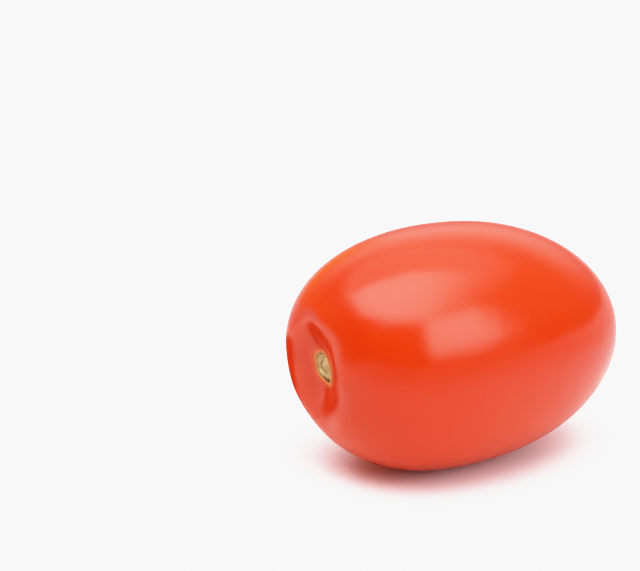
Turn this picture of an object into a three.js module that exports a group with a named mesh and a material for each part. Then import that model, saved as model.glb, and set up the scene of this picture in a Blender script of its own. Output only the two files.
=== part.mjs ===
// A ripe plum tomato, picked without its stalk and calyx and lying on its side.
// Millimetres, +Z up. The fruit's long axis lies along X: the stem end, with its shallow
// hollow and corky scar, is towards -X, and the blossom end is towards +X. The fruit rests
// on a small flat spot under its weight, at Z = 0.
import * as THREE from "three";

// Outline of the fruit, measured from the plane of its widest girth, the belly
const BELLY_RADIUS = 25.1;
const STEM_REACH = 32.5;
const BLOSSOM_REACH = 42.1;
// Superellipse exponents: 2 is a plain ellipse, more is blunter and less is more pointed
const STEM_BLUNTNESS = 2.35;
const BLOSSOM_BLUNTNESS = 2.03;

// Departures from a round, straight fruit
const OVAL = { share: 0.014, at: 1.82 };
const THREE_LOBES = { share: 0.004, at: 0.81 };
const SAG = -0.17;
const STEM_FACE_LEAN = { across: -0.033, up: -0.114 };
const AXIS_DIP = 1.9 * THREE.MathUtils.DEG2RAD;

// Hollow round the stalk's scar, taller than it is wide and reaching further below the scar than
// above it, and the low ribs of flesh that stand round it
const HOLLOW = { across: 0.25, up: -1.16, depth: 4.1, spread: 6.4, steepness: 2.6, tallness: 1.4 };
const SHOULDER_RIBS = { count: 5, height: 0.22, radius: 9.5, spread: 4, at: 0.5 };

// Corky scar at the bottom of the hollow: a raised lip round its edge, and the ring that the
// stalk's sap vessels left, a little to one side
const SCAR = {
  radius: 3,
  shape: [
    { count: 2, share: 0.12, at: 1.62 },
    { count: 3, share: 0.042, at: 1 },
    { count: 4, share: 0.03, at: 0.5 },
    { count: 5, share: 0.035, at: 0.15 },
  ],
  lip: { height: 0.32, width: 0.45 },
  cork: { height: -0.18, edge: 0.6 },
  ring: { height: 0.32, radius: 1.3, width: 0.4, across: 0.2, up: 0.08 },
};

// Rounding of the blossom end, and the small point and dry spot where the flower dropped off
const BLOSSOM_ROUNDING = { depth: 0.45, spread: 3.6 };
const BLOSSOM_TIP = { height: 0.4, spread: 1.7 };
const BLOSSOM_SPOT = { depth: 0.25, spread: 0.6 };

// How deep the flat spot is pressed into the round of the belly
const REST_DEPTH = 0.4;

// Mesh: points round the axis, and the angle between rings, which is fine over the scar and at
// the blossom tip and grows from there to the belly
const SIDES = 64;
const RING_STEP = { fine: 0.009, coarse: 0.09, growth: 0.15, scarEdge: 0.14 };

const hump = (distance, spread) => Math.exp(-((distance / spread) ** 2));
const ripple = ({ count, share, at }, turn) => share * Math.cos(count * (turn - at));

// Distance from the belly's centre to the plain outline, for an angle from the stem axis
function outlineReach(polar) {
  const along = Math.cos(polar);
  const bluntness = THREE.MathUtils.lerp(BLOSSOM_BLUNTNESS, STEM_BLUNTNESS, (1 + along) / 2);
  const reach = along > 0 ? STEM_REACH : BLOSSOM_REACH;
  const sum = Math.abs(along / reach) ** bluntness + (Math.sin(polar) / BELLY_RADIUS) ** bluntness;
  return sum ** (-1 / bluntness);
}

// How far the scar's outline bulges past its mean radius, as a share, seen from outside
function scarBulge(turn) {
  return SCAR.shape.reduce((sum, wave) => sum + ripple(wave, Math.PI - turn), 0);
}

// Height of the scar's relief at a point of the stem face, seen from outside
function scarRelief(across, up) {
  const bulge = scarBulge(Math.PI - Math.atan2(up, across));
  const pastEdge = Math.hypot(across, up) - SCAR.radius * (1 + bulge);
  const fromRing = Math.hypot(across - SCAR.ring.across, up - SCAR.ring.up) - SCAR.ring.radius;
  return (
    SCAR.lip.height * hump(pastEdge, SCAR.lip.width) +
    SCAR.ring.height * hump(fromRing, SCAR.ring.width) +
    SCAR.cork.height * THREE.MathUtils.smoothstep(-pastEdge, 0, SCAR.cork.edge)
  );
}

// Depth of the hollow at a point of the stem face, measured from the scar's middle
function hollowDepth(across, up) {
  const tall = (up - HOLLOW.up) / HOLLOW.tallness;
  const fall = Math.hypot(across - HOLLOW.across, tall) / HOLLOW.spread;
  return HOLLOW.depth * Math.exp(-(fall ** HOLLOW.steepness));
}

// Point of the skin, from its angle off the stem axis and its turn round that axis
function skinPoint(polar, turn) {
  const along = Math.cos(polar);
  const off = Math.sin(polar);
  const reach = outlineReach(polar);
  const oval = OVAL.share * off * Math.cos(2 * (turn - OVAL.at));
  const lobes = THREE_LOBES.share * off ** 2 * Math.cos(3 * (turn - THREE_LOBES.at));
  const scar = along > 0 ? scarBulge(turn) * hump(reach * off, 2 * SCAR.radius) : 0;
  const radius = reach * off * (1 + oval + lobes + scar);
  const across = radius * Math.cos(turn);
  const up = radius * Math.sin(turn);

  let x = -reach * along;
  if (along > 0) {
    const ribs = Math.cos(SHOULDER_RIBS.count * (turn - SHOULDER_RIBS.at));
    x += hollowDepth(across, up);
    x -= SHOULDER_RIBS.height * ribs * hump(radius - SHOULDER_RIBS.radius, SHOULDER_RIBS.spread);
    x -= scarRelief(-across, up);
    x += along ** 2 * (STEM_FACE_LEAN.across * across + STEM_FACE_LEAN.up * up);
  } else {
    x -= BLOSSOM_ROUNDING.depth * hump(radius, BLOSSOM_ROUNDING.spread);
    x += BLOSSOM_TIP.height * hump(radius, BLOSSOM_TIP.spread);
    x -= BLOSSOM_SPOT.depth * hump(radius, BLOSSOM_SPOT.spread);
  }
  return new THREE.Vector3(x, across, up + SAG * (x / BELLY_RADIUS) ** 2);
}

// Angles of the rings from the stem axis, from the stem end to the blossom end
function ringAngles() {
  const angles = [];
  let polar = RING_STEP.fine;
  while (polar < Math.PI - RING_STEP.fine / 2) {
    angles.push(polar);
    const clear = Math.max(0, Math.min(polar - RING_STEP.scarEdge, Math.PI - polar));
    polar += Math.min(RING_STEP.coarse, RING_STEP.fine + RING_STEP.growth * clear);
  }
  return angles;
}

// Closed skin: a point at each end, rings of points between them, and faces outward
function fruitGeometry() {
  const rings = ringAngles();
  const points = [skinPoint(0, 0)];
  for (const polar of rings) {
    for (let side = 0; side < SIDES; side += 1) {
      points.push(skinPoint(polar, (2 * Math.PI * side) / SIDES));
    }
  }
  points.push(skinPoint(Math.PI, 0));

  const faces = [];
  const stemEnd = 0;
  const blossomEnd = points.length - 1;
  const lastRing = rings.length - 1;
  const at = (ring, side) => 1 + ring * SIDES + (side % SIDES);
  for (let side = 0; side < SIDES; side += 1) {
    faces.push(stemEnd, at(0, side + 1), at(0, side));
    for (let ring = 0; ring < lastRing; ring += 1) {
      faces.push(at(ring, side), at(ring, side + 1), at(ring + 1, side));
      faces.push(at(ring, side + 1), at(ring + 1, side + 1), at(ring + 1, side));
    }
    faces.push(blossomEnd, at(lastRing, side), at(lastRing, side + 1));
  }
  return new THREE.BufferGeometry().setFromPoints(points).setIndex(faces);
}

// Sets the fruit down with its lowest skin pressed flat at Z = 0 and its box centred on Z
function setDown(geometry) {
  geometry.rotateY(AXIS_DIP);
  geometry.computeBoundingBox();
  const { min, max } = geometry.boundingBox;
  geometry.translate(-(min.x + max.x) / 2, -(min.y + max.y) / 2, -min.z - REST_DEPTH);
  const position = geometry.attributes.position;
  for (let i = 0; i < position.count; i += 1) {
    position.setZ(i, Math.max(position.getZ(i), 0));
  }
  geometry.computeVertexNormals();
  return geometry;
}

const skin = new THREE.MeshStandardMaterial({ color: 0xd92510, roughness: 0.28, metalness: 0 });
const tomato = new THREE.Mesh(setDown(fruitGeometry()), skin);
tomato.name = "tomato";

const part = new THREE.Group();
part.add(tomato);

export default part;
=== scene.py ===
import math

import bpy
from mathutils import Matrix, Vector, noise
from mathutils.bvhtree import BVHTree


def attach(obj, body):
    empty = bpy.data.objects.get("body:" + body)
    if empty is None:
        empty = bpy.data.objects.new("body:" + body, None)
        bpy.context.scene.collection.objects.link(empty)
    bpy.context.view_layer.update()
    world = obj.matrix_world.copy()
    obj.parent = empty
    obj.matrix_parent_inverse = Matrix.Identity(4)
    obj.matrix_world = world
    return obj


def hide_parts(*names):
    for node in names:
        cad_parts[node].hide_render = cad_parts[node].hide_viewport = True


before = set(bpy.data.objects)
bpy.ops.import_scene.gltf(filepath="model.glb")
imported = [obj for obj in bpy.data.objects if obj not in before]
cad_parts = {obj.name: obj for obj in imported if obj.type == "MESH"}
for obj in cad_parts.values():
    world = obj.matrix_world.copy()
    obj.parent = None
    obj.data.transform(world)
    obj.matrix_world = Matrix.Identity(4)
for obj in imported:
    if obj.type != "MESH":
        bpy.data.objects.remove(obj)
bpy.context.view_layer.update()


# The fruit. A ripe plum tomato is one egg-shaped body of firm flesh under a thin waxy skin,
# blunt at the stem end and tapering to the blossom end. It grew a little bent and lopsided,
# and it lies on its side on a small spot that its weight presses flat. Sizes here are in mm.

# A millimetre in metres, which every mesh here is in
MM = 0.001

# Mean radius of the stem scar, and the waves of its outline: how many to the turn, how high as a
# share of the radius, and the turn in radians where each is highest
SCAR_RADIUS = 3.0
SCAR_WAVES = ((2, 0.12, 1.62), (3, 0.042, 1.0), (4, 0.03, 0.5), (5, 0.035, 0.15))

# Inputs of the fruit's node tree. A crest is the turn in radians where a wave is highest
FRUIT_SIZES = {
    "Belly Radius": 25.1,
    "Stem Reach": 32.5,
    "Blossom Reach": 42.1,
    "Stem Bluntness": 2.35,
    "Blossom Bluntness": 2.03,
    "Oval": 0.014,
    "Oval Crest": 1.82,
    "Lobes": 0.004,
    "Lobes Crest": 0.81,
    "Sag": -0.17,
    "Face Lean Across": -0.033,
    "Face Lean Up": -0.114,
    "Hollow Across": 0.25,
    "Hollow Up": -1.16,
    "Hollow Tallness": 1.4,
    "Hollow Depth": 4.1,
    "Hollow Spread": 6.4,
    "Hollow Steepness": 2.6,
    "Shoulder Ribs": 0.22,
    "Rib Count": 5.0,
    "Rib Crest": 0.5,
    "Rib Radius": 9.5,
    "Rib Spread": 4.0,
    "Lip Height": 0.22,
    "Lip Offset": 0.12,
    "Lip Width": 0.22,
    "Scar Bed": 0.6,
    "Scar Bed Margin": 0.25,
    "Blossom Rounding": 0.45,
    "Rounding Spread": 3.6,
    "Blossom Tip": 0.4,
    "Tip Spread": 1.7,
    "Axis Dip": math.radians(1.9),
    "Rest Depth": 0.4,
    "Rest Softness": 0.12,
}


class Term:
    """A number that varies from place to place: a node's output, used in plain arithmetic."""

    def __init__(self, socket):
        self.socket = socket

    def __add__(self, other):
        return combine("ADD", self, other)

    def __radd__(self, other):
        return combine("ADD", other, self)

    def __sub__(self, other):
        return combine("SUBTRACT", self, other)

    def __rsub__(self, other):
        return combine("SUBTRACT", other, self)

    def __mul__(self, other):
        return combine("MULTIPLY", self, other)

    def __rmul__(self, other):
        return combine("MULTIPLY", other, self)

    def __truediv__(self, other):
        return combine("DIVIDE", self, other)

    def __rtruediv__(self, other):
        return combine("DIVIDE", other, self)

    def __pow__(self, other):
        return combine("POWER", self, other)


def combine(operation, *values):
    """The result of one Math node on terms and plain numbers."""
    tree = next(value.socket.id_data for value in values if isinstance(value, Term))
    node = tree.nodes.new("ShaderNodeMath")
    node.operation = operation
    for socket, value in zip(node.inputs, values):
        if isinstance(value, Term):
            tree.links.new(value.socket, socket)
        else:
            socket.default_value = value
    return Term(node.outputs[0])


def hump(distance, spread):
    """1 where the distance is 0, falling away on both sides like a soft hill."""
    return combine("EXPONENT", 0 - (distance / spread) ** 2)


def wave(turn, count, crest):
    """A ripple from -1 to 1, so many times to the turn, highest at its crest."""
    return combine("COSINE", (turn - crest) * count)


def split(tree, vector):
    """A vector's three numbers, as terms."""
    node = tree.nodes.new("ShaderNodeSeparateXYZ")
    tree.links.new(vector, node.inputs[0])
    return [Term(socket) for socket in node.outputs]


def join(tree, *terms):
    """The vector that three terms make."""
    node = tree.nodes.new("ShaderNodeCombineXYZ")
    for term, socket in zip(terms, node.inputs):
        tree.links.new(term.socket, socket)
    return node.outputs[0]


def set_position(tree, geometry, place):
    """Moves each point of a mesh to its new place."""
    node = tree.nodes.new("GeometryNodeSetPosition")
    tree.links.new(geometry, node.inputs["Geometry"])
    tree.links.new(place, node.inputs["Position"])
    return node.outputs[0]


def keep_on_points(tree, geometry, name, data_type, value):
    """Stores a value on the mesh as an attribute, for the material to read."""
    node = tree.nodes.new("GeometryNodeStoreNamedAttribute")
    node.data_type = data_type
    node.domain = "POINT"
    node.inputs["Name"].default_value = name
    tree.links.new(geometry, node.inputs["Geometry"])
    tree.links.new(value, node.inputs["Value"])
    return node.outputs[0]


def fruit_tree(skin):
    """Geometry nodes that shape a sphere into the fruit, from the sizes named above."""
    tree = bpy.data.node_groups.new("fruit_shape", "GeometryNodeTree")
    tree.interface.new_socket("Fruit", in_out="OUTPUT", socket_type="NodeSocketGeometry")
    for name in FRUIT_SIZES:
        tree.interface.new_socket(name, in_out="INPUT", socket_type="NodeSocketFloat")
    inputs = tree.nodes.new("NodeGroupInput")
    size = {name: Term(inputs.outputs[name]) for name in FRUIT_SIZES}

    sphere = tree.nodes.new("GeometryNodeMeshUVSphere")
    sphere.inputs["Segments"].default_value = 288
    sphere.inputs["Rings"].default_value = 240
    east, north, pole = split(tree, tree.nodes.new("GeometryNodeInputPosition").outputs[0])

    # Turn round the stem axis, and angle from it, with the rings crowded towards both ends
    crowding = 0.3
    turn = combine("ARCTAN2", north, east)
    angle = combine("ARCTAN2", (east**2 + north**2) ** 0.5, pole)
    angle = angle - crowding * combine("SINE", 2 * angle)
    along = combine("COSINE", angle)
    off = combine("MAXIMUM", combine("SINE", angle), 0)
    stem_half = combine("GREATER_THAN", along, 0)
    blossom_half = 1 - stem_half

    # The egg outline: a superellipse, blunter at the stem end than at the blossom end
    bluntness = size["Blossom Bluntness"] + (along + 1) * 0.5 * (
        size["Stem Bluntness"] - size["Blossom Bluntness"]
    )
    end_reach = stem_half * size["Stem Reach"] + blossom_half * size["Blossom Reach"]
    lengthwise = (combine("ABSOLUTE", along) / end_reach) ** bluntness
    sideways = (off / size["Belly Radius"]) ** bluntness
    reach = (lengthwise + sideways) ** (-1 / bluntness)

    # Lopsided growth: a little oval and three-lobed
    oval = size["Oval"] * off * wave(turn, 2, size["Oval Crest"])
    lobes = size["Lobes"] * off**2 * wave(turn, 3, size["Lobes Crest"])
    radius = reach * off * (1 + oval + lobes)
    across, up = radius * combine("COSINE", turn), radius * combine("SINE", turn)

    # The stem face, which leans: the hollow that the stalk grew from, with low ribs round it
    hollow_up = (up - size["Hollow Up"]) / size["Hollow Tallness"]
    into_hollow = ((across - size["Hollow Across"]) ** 2 + hollow_up**2) ** 0.5
    fall = (into_hollow / size["Hollow Spread"]) ** size["Hollow Steepness"]
    hollow = size["Hollow Depth"] * combine("EXPONENT", 0 - fall)
    rib_wave = wave(turn, size["Rib Count"], size["Rib Crest"])
    ribs = size["Shoulder Ribs"] * rib_wave * hump(radius - size["Rib Radius"], size["Rib Spread"])
    lean = size["Face Lean Across"] * across + size["Face Lean Up"] * up

    # The scar's edge, where the skin swells into a thin lip, and the bed inside it
    bulge = sum(share * wave(math.pi - turn, count, crest) for count, share, crest in SCAR_WAVES)
    past_scar = radius - SCAR_RADIUS * (1 + bulge)
    lip = size["Lip Height"] * hump(past_scar - size["Lip Offset"], size["Lip Width"])
    bed = size["Scar Bed"] * combine("LESS_THAN", past_scar, 0 - size["Scar Bed Margin"])

    # The blossom end, rounded off round a low tip
    rounding = size["Blossom Rounding"] * hump(radius, size["Rounding Spread"])
    tip = size["Blossom Tip"] * hump(radius, size["Tip Spread"])

    # All of it together, bent along the axis and then dipped
    x = 0 - reach * along + stem_half * (hollow - ribs + lean * along**2 - lip + bed)
    x = x + blossom_half * (tip - rounding)
    bent = up + size["Sag"] * (x / size["Belly Radius"]) ** 2
    dip_cos = combine("COSINE", size["Axis Dip"])
    dip_sin = combine("SINE", size["Axis Dip"])
    grown = join(tree, x * dip_cos + bent * dip_sin, across, bent * dip_cos - x * dip_sin)

    # What the skin's material needs to know about each point. Past the belly a point counts as
    # far from the scar
    far_from_scar = 40 * blossom_half
    past_scar = past_scar + far_from_scar
    meridian = join(tree, combine("COSINE", turn), combine("SINE", turn), angle / math.pi)
    mesh = sphere.outputs["Mesh"]
    mesh = keep_on_points(tree, mesh, "past_scar", "FLOAT", past_scar.socket)
    mesh = keep_on_points(tree, mesh, "meridian", "FLOAT_VECTOR", meridian)
    mesh = set_position(tree, mesh, grown)

    # Set down on the ground, centred, with the lowest skin pressed flat, and scaled to metres
    bounds = tree.nodes.new("GeometryNodeBoundBox")
    tree.links.new(mesh, bounds.inputs[0])
    low_x, low_y, low_z = split(tree, bounds.outputs["Min"])
    high_x, high_y, _ = split(tree, bounds.outputs["Max"])
    x, y, z = split(tree, tree.nodes.new("GeometryNodeInputPosition").outputs[0])
    x = x - (low_x + high_x) / 2
    y = y - (low_y + high_y) / 2
    z = combine("SMOOTH_MAX", z - low_z - size["Rest Depth"], 0, size["Rest Softness"])
    mesh = set_position(tree, mesh, join(tree, x * MM, y * MM, z * MM))

    smooth = tree.nodes.new("GeometryNodeSetShadeSmooth")
    realize = tree.nodes.new("GeometryNodeRealizeInstances")
    paint = tree.nodes.new("GeometryNodeSetMaterial")
    paint.inputs["Material"].default_value = skin
    outputs = tree.nodes.new("NodeGroupOutput")
    tree.links.new(mesh, smooth.inputs["Geometry"])
    tree.links.new(smooth.outputs[0], realize.inputs[0])
    tree.links.new(realize.outputs[0], paint.inputs["Geometry"])
    tree.links.new(paint.outputs[0], outputs.inputs[0])
    return tree


def add_node(tree, kind, links=None, **settings):
    """A new node with its properties set, and its inputs linked or given values."""
    node = tree.nodes.new(kind)
    for name, value in settings.items():
        setattr(node, name, value)
    for name, value in (links or {}).items():
        if isinstance(value, bpy.types.NodeSocket):
            tree.links.new(value, node.inputs[name])
        else:
            node.inputs[name].default_value = value
    return node


def new_material(name):
    """A material with its node tree and the shader that everything feeds."""
    material = bpy.data.materials.new(name)
    material.use_nodes = True
    return material, material.node_tree, material.node_tree.nodes["Principled BSDF"]


def read_from_points(tree, name, output="Fac"):
    """A value that the mesh keeps on its points as an attribute."""
    return add_node(tree, "ShaderNodeAttribute", attribute_name=name).outputs[output]


def mix_colours(tree, share, first, second):
    """The first colour where the share is 0, and the second where it is 1."""
    # A Mix node has a set of sockets for each kind of value: 6, 7 and output 2 are for colours
    node = add_node(tree, "ShaderNodeMix", {0: share, 6: first, 7: second}, data_type="RGBA")
    return node.outputs[2]


def ramp(tree, value, *stops):
    """A greyscale ramp through (place, brightness) stops, smoothed."""
    node = add_node(tree, "ShaderNodeValToRGB", {"Fac": value})
    node.color_ramp.interpolation = "EASE"
    elements = node.color_ramp.elements
    while len(elements) < len(stops):
        elements.new(0.5)
    for element, (place, grey) in zip(elements, stops):
        element.position = place
        element.color = (grey, grey, grey, 1)
    return node.outputs["Color"]


def fade(tree, value, start, end, low=0.0, high=1.0, kind="LINEAR"):
    """Low where the value is before its start, high past its end, and between them in between."""
    ends = {"From Min": start, "From Max": end, "To Min": low, "To Max": high}
    node = add_node(tree, "ShaderNodeMapRange", {"Value": value, **ends}, interpolation_type=kind)
    return node.outputs[0]


def texture(tree, coordinates, scale, detail=2.0, stretch=(1, 1, 1)):
    """Soft noise on the given coordinates, at so many waves to the unit."""
    mapping = add_node(tree, "ShaderNodeMapping", {"Vector": coordinates, "Scale": stretch})
    settings = {"Vector": mapping.outputs[0], "Scale": scale, "Detail": detail}
    return add_node(tree, "ShaderNodeTexNoise", settings).outputs["Fac"]


def add_relief(tree, shader, height, depth):
    """Relief too fine for the mesh, so many metres deep."""
    bump = add_node(tree, "ShaderNodeBump", {"Height": height, "Distance": depth, "Strength": 1.0})
    tree.links.new(bump.outputs[0], shader.inputs["Normal"])


def ripe_skin():
    """Waxy ripe skin: orange-red, mottled and faintly streaked lengthwise, with fine flecks."""
    material, tree, shader = new_material("ripe_skin")
    place = add_node(tree, "ShaderNodeTexCoord").outputs["Object"]

    mottle = texture(tree, place, scale=60, detail=3)
    meridian = read_from_points(tree, "meridian", "Vector")
    streaks = texture(tree, meridian, scale=7, detail=3, stretch=(1, 1, 0.16))
    ripeness = (Term(mottle) + Term(streaks)).socket
    ripeness = ramp(tree, ripeness, (0.35, 0.0), (0.65, 1.0))
    colour = mix_colours(tree, ripeness, (0.52, 0.034, 0.0025, 1), (0.57, 0.047, 0.003, 1))

    speckle = add_node(tree, "ShaderNodeTexVoronoi", {"Vector": place, "Scale": 800.0})
    dots = ramp(tree, speckle.outputs["Distance"], (0.05, 1.0), (0.22, 0.0))
    patches = ramp(tree, texture(tree, place, scale=180), (0.45, 0.0), (0.7, 0.3))
    flecks = (Term(dots) * Term(patches)).socket
    colour = mix_colours(tree, flecks, colour, (0.6, 0.12, 0.02, 1))

    # A paler halo round the scar, two millimetres wide
    past_scar = read_from_points(tree, "past_scar")
    halo = fade(tree, past_scar, 0.0, 2.0)
    halo = ramp(tree, halo, (0.0, 1.0), (0.13, 0.8), (0.34, 0.16), (0.9, 0.0))
    colour = mix_colours(tree, halo, colour, (0.66, 0.24, 0.065, 1))
    tree.links.new(colour, shader.inputs["Base Color"])

    dapple = texture(tree, place, scale=115, detail=1.5)
    grain = texture(tree, place, scale=2600, detail=2)
    height = combine("MULTIPLY_ADD", Term(grain), 0.02, Term(dapple)).socket
    add_relief(tree, shader, height, 0.00018)

    gloss = fade(tree, mottle, 0.0, 1.0, 0.165, 0.225)
    tree.links.new(gloss, shader.inputs["Roughness"])
    shader.inputs["IOR"].default_value = 1.5
    shader.inputs["Subsurface Weight"].default_value = 0.3
    shader.inputs["Subsurface Radius"].default_value = (1.0, 0.2, 0.1)
    shader.inputs["Subsurface Scale"].default_value = 0.005
    return material


def shaped_mesh(tree, sizes):
    """Runs a shape's node tree with its sizes, and returns the plain mesh that it makes."""
    source = bpy.data.objects.new("source", bpy.data.meshes.new("source"))
    bpy.context.scene.collection.objects.link(source)
    modifier = source.modifiers.new("shape", "NODES")
    modifier.node_group = tree
    for socket in tree.interface.items_tree:
        if socket.in_out == "INPUT":
            modifier[socket.identifier] = sizes[socket.name]
    depsgraph = bpy.context.evaluated_depsgraph_get()
    mesh = bpy.data.meshes.new_from_object(source.evaluated_get(depsgraph), depsgraph=depsgraph)
    bpy.data.objects.remove(source)
    return mesh


def add_piece(name, mesh, body):
    """A visible piece, with the body it rides on."""
    piece = bpy.data.objects.new(name, mesh)
    bpy.context.scene.collection.objects.link(piece)
    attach(piece, body)
    return piece


fruit_shape = fruit_tree(ripe_skin())
fruit = add_piece("fruit", shaped_mesh(fruit_shape, FRUIT_SIZES), "root")
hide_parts("tomato")


# The stem scar. Where the stalk broke off, dry cork sealed the wound. It lies in the hollow,
# ringed by a thin lip of skin, with the stalk's sap vessels as a darker ring on its face.

# Across and up in mm: the scar's own centre from the origin, and the rest from that centre, as
# seen from outside. A crack also has its size.
SCAR_CENTRE = (0.08, 25.85)
VESSEL_RING = {"centre": (0.2, 0.08), "radius": 1.22, "width": 0.22, "stretch": 1.15, "dark_at": 3.6}
UPPER_RING = {"centre": (-0.4, 2.2), "radius": 0.6, "width": 0.17}
CRACKS = ((-0.7, -2.5, 0.32), (-0.1, -2.95, 0.44), (0.4, -3, 0.46), (0.95, -2.5, 0.36))

# The skin in mm as it would be with no bed cut for the scar, for scabs to be seated on
seat_mesh = shaped_mesh(fruit_shape, {**FRUIT_SIZES, "Scar Bed": 0.0})
seat = BVHTree.FromPolygons(
    [vertex.co * 1000 for vertex in seat_mesh.vertices],
    [face.vertices for face in seat_mesh.polygons],
)


def scab_mesh(name, centre, outward, outline, height, marks, rings, spokes):
    """A closed scab seated on the skin: rings of points out from its centre, raised by height().

    outward is -1 at the stem end and 1 at the blossom end. outline(turn) is its reach. marks are
    functions of a point on its face, and become attributes of the same name.
    """
    outside, thickness = 60, 1.5
    tuck, tuck_start = 0.4, 0.92
    points = []
    values = {mark: [] for mark in marks}
    for ring in range(rings + 1):
        for spoke in range(spokes if ring else 1):
            turn = 2 * math.pi * spoke / spokes
            reach = outline(turn) * ring / rings
            side, up = reach * math.cos(turn), reach * math.sin(turn)
            start = Vector((outside * outward, centre[0] + side * outward, centre[1] + up))
            skin = seat.ray_cast(start, Vector((-outward, 0, 0)))[0]
            tucked = tuck * max(0.0, (ring / rings - tuck_start) / (1 - tuck_start)) ** 2
            raised = outward * (height(side, up) - tucked)
            points.append((skin + Vector((raised, 0, 0))) * MM)
            for mark, value in marks.items():
                values[mark].append(value(side, up))
    under = len(points)
    points.append(points[0] - Vector((outward * thickness * MM, 0, 0)))

    def at(ring, spoke):
        """The number of the point on a ring and a spoke."""
        return 1 + (ring - 1) * spokes + spoke % spokes if ring else 0

    faces = []
    for spoke in range(spokes):
        faces.append((0, at(1, spoke), at(1, spoke + 1)))
        for ring in range(1, rings):
            near, far = at(ring, spoke), at(ring + 1, spoke)
            faces.append((near, far, at(ring + 1, spoke + 1), at(ring, spoke + 1)))
        faces.append((at(rings, spoke), under, at(rings, spoke + 1)))
    mesh = bpy.data.meshes.new(name)
    mesh.from_pydata(points, [], faces)
    for mark in marks:
        layer = mesh.attributes.new(mark, "FLOAT", "POINT")
        layer.data.foreach_set("value", values[mark] + [0.0])
    mesh.polygons.foreach_set("use_smooth", [True] * len(faces))
    return mesh


def hill(distance, spread):
    """What hump() is on the skin, for plain numbers."""
    return math.exp(-((distance / spread) ** 2))


def scar_outline(turn):
    """The scar's reach in mm, at a turn round its centre."""
    bulge = sum(share * math.cos(count * (turn - crest)) for count, share, crest in SCAR_WAVES)
    return SCAR_RADIUS * (1 + bulge)


def share_of_reach(side, up):
    """0 in the scar's middle and 1 at its rim."""
    return math.hypot(side, up) / scar_outline(math.atan2(up, side))


def past_ring(ring, side, up):
    """How far a point is outside a ring, which may be stretched sideways."""
    ring_side, ring_up = ring["centre"]
    return math.hypot((side - ring_side) / ring.get("stretch", 1), up - ring_up) - ring["radius"]


def vessel_rings_and_crease_shade(side, up):
    """Dark grooves: a large ring where sap vessels ended, a small one above, and painted shade by
    the rim.
    """
    ring_side, ring_up = VESSEL_RING["centre"]
    turn = math.atan2(up - ring_up, side - ring_side)
    open_side = 0.55 + 0.45 * math.cos(turn - VESSEL_RING["dark_at"])
    large = open_side * hill(past_ring(VESSEL_RING, side, up), VESSEL_RING["width"])
    small = 0.6 * hill(past_ring(UPPER_RING, side, up), UPPER_RING["width"])
    # Painted shade: a dark line in the crease between the cork and its lip, just inside the rim
    painted_rim_shade = 0.7 * hill(share_of_reach(side, up) - 0.86, 0.035)
    return min(1.0, large + small + painted_rim_shade)


def cracks(side, up):
    """Dark cracks at the scar's pointed end."""
    return min(1.0, sum(hill(math.hypot(side - x, up - y), size) for x, y, size in CRACKS))


def edge_fade(side, up):
    """0 over most of the scar, rising to 1 along its rim."""
    rim_start = 0.82
    return max(0.0, min(1.0, (share_of_reach(side, up) - rim_start) / (1 - rim_start)))


def scar_height(side, up):
    """How far the cork stands off the skin's seat in mm: lumpy, with a core inside its ring."""
    ring_side, ring_up = VESSEL_RING["centre"]
    lumps = noise.fractal(Vector((side * 0.9, up * 0.9, 3.0)), 1.0, 2.0, 4)
    grain = noise.noise(Vector((side * 5, up * 5, 7.0)))
    core = hill(math.hypot(side - ring_side, up - ring_up), 0.9)
    dents = 0.12 * vessel_rings_and_crease_shade(side, up) + 0.2 * cracks(side, up)
    return 0.08 + 0.06 * lumps + 0.02 * grain + 0.12 * core - dents


def corky_scab():
    """Dry cork: tan with a green cast, darker in grooves and painted rim shade, almost black in
    cracks.
    """
    material, tree, shader = new_material("corky_scab")
    place = add_node(tree, "ShaderNodeTexCoord").outputs["Object"]
    blotches = ramp(tree, texture(tree, place, scale=700, detail=4), (0.35, 0.0), (0.65, 1.0))
    colour = mix_colours(tree, blotches, (0.32, 0.29, 0.115, 1), (0.58, 0.53, 0.3, 1))
    fibres = ramp(tree, texture(tree, place, scale=2600, detail=4), (0.4, 0.0), (0.7, 0.6))
    colour = mix_colours(tree, fibres, colour, (0.62, 0.54, 0.33, 1))
    # The groove stain also paints the shade in the crease by the stem scar's rim
    for mark, stain in (
        ("rim", (0.5, 0.26, 0.075, 1)),
        ("groove", (0.17, 0.13, 0.035, 1)),
        ("crack", (0.09, 0.03, 0.008, 1)),
    ):
        colour = mix_colours(tree, read_from_points(tree, mark), colour, stain)
    tree.links.new(colour, shader.inputs["Base Color"])
    add_relief(tree, shader, texture(tree, place, scale=3200, detail=5), 0.00006)
    dryness = fade(tree, blotches, 0.0, 1.0, 0.6, 0.8)
    tree.links.new(dryness, shader.inputs["Roughness"])
    return material


cork = corky_scab()
# The groove mark also carries the painted shade by the rim
scar_marks = {"groove": vessel_rings_and_crease_shade, "crack": cracks, "rim": edge_fade}
scar_mesh = scab_mesh(
    "stem_scar", SCAR_CENTRE, -1, scar_outline, scar_height, scar_marks, rings=64, spokes=192
)
scar_mesh.materials.append(cork)
add_piece("stem_scar", scar_mesh, "root")


# The blossom scar. A dry brown point at the far end, where the flower withered and dropped off.
# It is the same cork as the stem scar, seated on the fruit's low tip.

BLOSSOM_CENTRE = (0.08, 23.26)


def blossom_outline(turn):
    """The dry point's reach in mm, at a turn round its centre."""
    return 0.95 + 0.1 * math.cos(3 * turn + 0.6) + 0.06 * math.cos(5 * turn)


def blossom_height(side, up):
    """How far it stands off the skin in mm: rough, with a peak and a low ring round it."""
    rough = noise.fractal(Vector((side * 2.5, up * 2.5, 1.0)), 1.0, 2.0, 3)
    distance = math.hypot(side, up)
    return 0.06 + 0.05 * rough + 0.3 * hill(distance, 0.35) + 0.06 * hill(distance - 0.7, 0.15)


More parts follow.
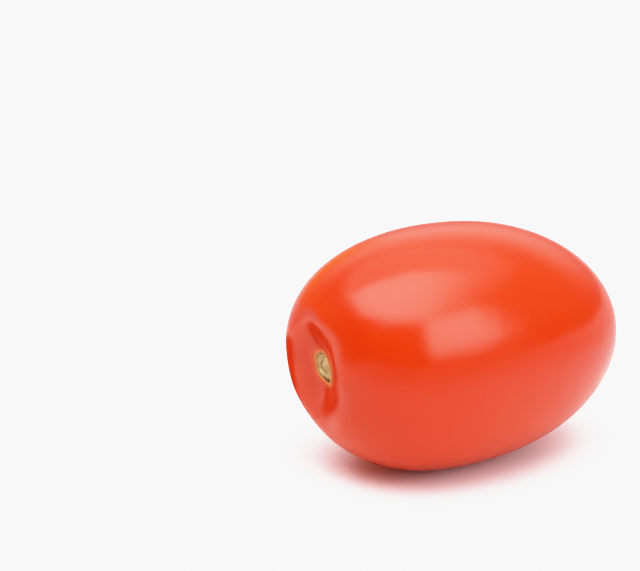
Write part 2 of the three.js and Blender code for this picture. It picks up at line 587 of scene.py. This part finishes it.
blossom_marks = {
    "groove": lambda side, up: hill(math.hypot(side, up) - 0.5, 0.14),
    "crack": lambda side, up: 0.85 * hill(math.hypot(side, up), 0.4),
    "rim": lambda side, up: min(1.0, math.hypot(side, up)),
}
blossom_mesh = scab_mesh(
    "blossom_scar",
    BLOSSOM_CENTRE,
    1,
    blossom_outline,
    blossom_height,
    blossom_marks,
    rings=24,
    spokes=96,
)
blossom_mesh.materials.append(cork)
add_piece("blossom_scar", blossom_mesh, "root")


# The ground and the light. The fruit lies on pale paper under one big soft box. The paper is
# plain to the camera and carries painted light and shade for everything else. A second soft box
# stands low to the right of the camera, and the room is pale behind the fruit and dark behind the
# camera.

# How far the camera stands round from the fruit's broad side towards its stem end
CAMERA_TURN = math.radians(32.79)

# How bright each part of the room is, and the warm light low on the left in red, green and blue
OVERHEAD_LIGHT = 5.85
SIDE_LIGHT = 5.0
CEILING_LIGHT = 1.75
BACKGROUND_WHITE = 1.4
LEFT_WARMTH = (1.75, 0.56, 0.2)


def as_camera_sees(tree, coordinates):
    """Right, away and up from the fruit as the camera sees them, as terms."""
    place = add_node(tree, "ShaderNodeTexCoord").outputs[coordinates]
    settings = {"Vector": place, "Rotation": (0, 0, CAMERA_TURN)}
    return split(tree, add_node(tree, "ShaderNodeMapping", settings).outputs[0])


def soft_step(term, start, end):
    """0 before the start and 1 past the end, with a smooth rise between."""
    return Term(fade(term.socket.id_data, term.socket, start, end, kind="SMOOTHSTEP"))


def beyond(angle, start, end):
    """A soft step between two angles in degrees."""
    return soft_step(angle, math.radians(start), math.radians(end))


def between(angle, start, full, fading, end):
    """0 outside the start and end, in degrees, and 1 from where it is full to where it fades."""
    return beyond(angle, start, full) * (1 - beyond(angle, fading, end))


def studio_light():
    """World light: plain white to the camera, and soft boxes to everything else."""
    world = bpy.data.worlds.new("studio")
    bpy.context.scene.world = world
    world.use_nodes = True
    tree = world.node_tree
    tree.nodes.clear()
    right, away, high = as_camera_sees(tree, "Generated")
    elevation = combine("ARCSINE", combine("MINIMUM", combine("MAXIMUM", high, -1), 1))
    azimuth = combine("ARCTAN2", right, 0 - away)

    # Overhead box: straight edges on the left and behind, and fading out to the right
    from_middle = (right + 0.2) ** 2 + (away + 0.3) ** 2
    overhead = OVERHEAD_LIGHT * (1 - 0.5 * from_middle) * beyond(elevation, 36, 53)
    overhead = overhead * soft_step(right, -0.74, -0.56) * (1 - soft_step(right, 0.22, 0.95))
    overhead = overhead * (1 - soft_step(away - 0.15 * right, 0.05, 0.24))

    # Side box: low, to the right of the camera
    side_box = SIDE_LIGHT * between(azimuth, 16, 28, 58, 78) * between(elevation, -1, 23, 38, 48)

    # Room: pale ceiling and back, dark behind the camera, and warm where it is low on the left
    ceiling = CEILING_LIGHT * beyond(elevation, 36, 56)
    low_left = between(azimuth, -176, -168, -100, -60) * (1 - beyond(elevation, 12, 38))
    sides = 0.28 * soft_step(away, -0.6, 0.0)
    behind_fruit = 1.3 * soft_step(away, 0.42, 0.9)
    rising = 0.2 + 0.8 * beyond(elevation, 0, 28)
    back = (sides + behind_fruit) * rising * (1 - 0.9 * low_left)
    room = combine("MAXIMUM", ceiling, 0.015 + back)
    light = combine("MAXIMUM", room, overhead) + side_box

    to_camera = Term(add_node(tree, "ShaderNodeLightPath").outputs["Is Camera Ray"])
    tints = (light + share * low_left for share in LEFT_WARMTH)
    shown = (tint * (1 - to_camera) + BACKGROUND_WHITE * to_camera for tint in tints)
    background = add_node(tree, "ShaderNodeBackground", {"Color": join(tree, *shown)})
    output = add_node(tree, "ShaderNodeOutputWorld")
    tree.links.new(background.outputs[0], output.inputs[0])
    world.cycles.sampling_method = "MANUAL"
    world.cycles.sample_map_resolution = 512


def floor_paper():
    """Pale paper: plain to the camera, painted light and shade to the skin, which mirrors them."""
    material, tree, shader = new_material("floor_paper")
    right, away, _ = as_camera_sees(tree, "Object")

    def past(term, start, end):
        """0 before the start and 1 past the end, in metres over the floor."""
        return Term(fade(tree, term.socket, start, end))

    # Painted light and shade, for all but the camera: painted warm bounce light under the fruit,
    # cooler to its right, painted shade far off, painted light to its left, painted shade in front,
    # and a painted shadow in one patch beside the stem end. Each covers those before it
    shadow_right, shadow_away = -0.075, 0.038
    from_fruit = (right**2 + away**2) ** 0.5
    from_shadow = ((right - shadow_right) ** 2 + (away - shadow_away) ** 2) ** 0.5
    painted_floor_light = (0.8, 0.69, 0.62, 1)
    for share, colour in (
        (past(right, 0.01, 0.07), (0.72, 0.75, 0.8, 1)),
        (past(from_fruit, 0.06, 0.17), (0.48, 0.44, 0.45, 1)),
        (past(right, -0.04, -0.1) * past(away, 0.09, 0.03), (0.92, 0.88, 0.82, 1)),
        (past(away, -0.06, -0.2), (0.3, 0.28, 0.28, 1)),
        # A painted shadow beside the stem end
        (past(from_shadow, 0.055, 0.029), (0.25, 0.05, 0.03, 1)),
    ):
        painted_floor_light = mix_colours(tree, share.socket, painted_floor_light, colour)
    # The camera sees the paper plain; the painted light and shade above go to everything else
    to_camera = add_node(tree, "ShaderNodeLightPath").outputs["Is Camera Ray"]
    colour = mix_colours(tree, to_camera, painted_floor_light, (0.98, 0.96, 1, 1))
    tree.links.new(colour, shader.inputs["Base Color"])
    shader.inputs["Roughness"].default_value = 0.9
    shader.inputs["Specular IOR Level"].default_value = 0.0
    return material


studio_light()

FLOOR_REACH = 8
floor_mesh = bpy.data.meshes.new("floor")
floor_mesh.from_pydata(
    [(x * FLOOR_REACH, y * FLOOR_REACH, 0) for x, y in ((-1, -1), (1, -1), (1, 1), (-1, 1))],
    [],
    [(0, 1, 2, 3)],
)
floor_mesh.materials.append(floor_paper())
floor = bpy.data.objects.new("floor", floor_mesh)
bpy.context.scene.collection.objects.link(floor)


# The camera. It looks down a little on the fruit, from the stem end's side, through a long lens,
# with its picture's tones set to those of the photograph.

camera = bpy.data.objects.new("camera", bpy.data.cameras.new("camera"))
camera.data.lens = 101.25
camera.data.sensor_width = 36
camera.data.clip_start = 0.01
camera.location = (-0.216115, -0.28116, 0.145144)
camera.rotation_euler = (math.radians(73), 0, -CAMERA_TURN)
bpy.context.scene.collection.objects.link(camera)
bpy.context.scene.camera = camera

# How tones are shown: green and blue held back where they are dark, and then all three levelled
# off where they are bright
BRIGHTEST = 4
view = bpy.context.scene.view_settings
view.view_transform = "Standard"
view.look = "None"
view.use_curve_mapping = True
response = view.curve_mapping
response.clip_max_x = response.clip_max_y = BRIGHTEST
response.extend = "HORIZONTAL"
red, green, blue, all_colours = (curve.points for curve in response.curves)
for colour in (red, green, blue):
    colour[1].location = (BRIGHTEST, BRIGHTEST)
for colour in (green, blue):
    for bright, shown in ((0.05, 0.029), (0.2, 0.147), (0.5, 0.436), (1, 1)):
        colour.new(bright, shown).handle_type = "AUTO_CLAMPED"
all_colours[1].location = (BRIGHTEST, 0.94)
for bright, shown in ((0.35, 0.35), (0.7, 0.68), (0.95, 0.85), (1.2, 0.915), (1.5, 0.937)):
    all_colours.new(bright, shown).handle_type = "AUTO_CLAMPED"
response.update()
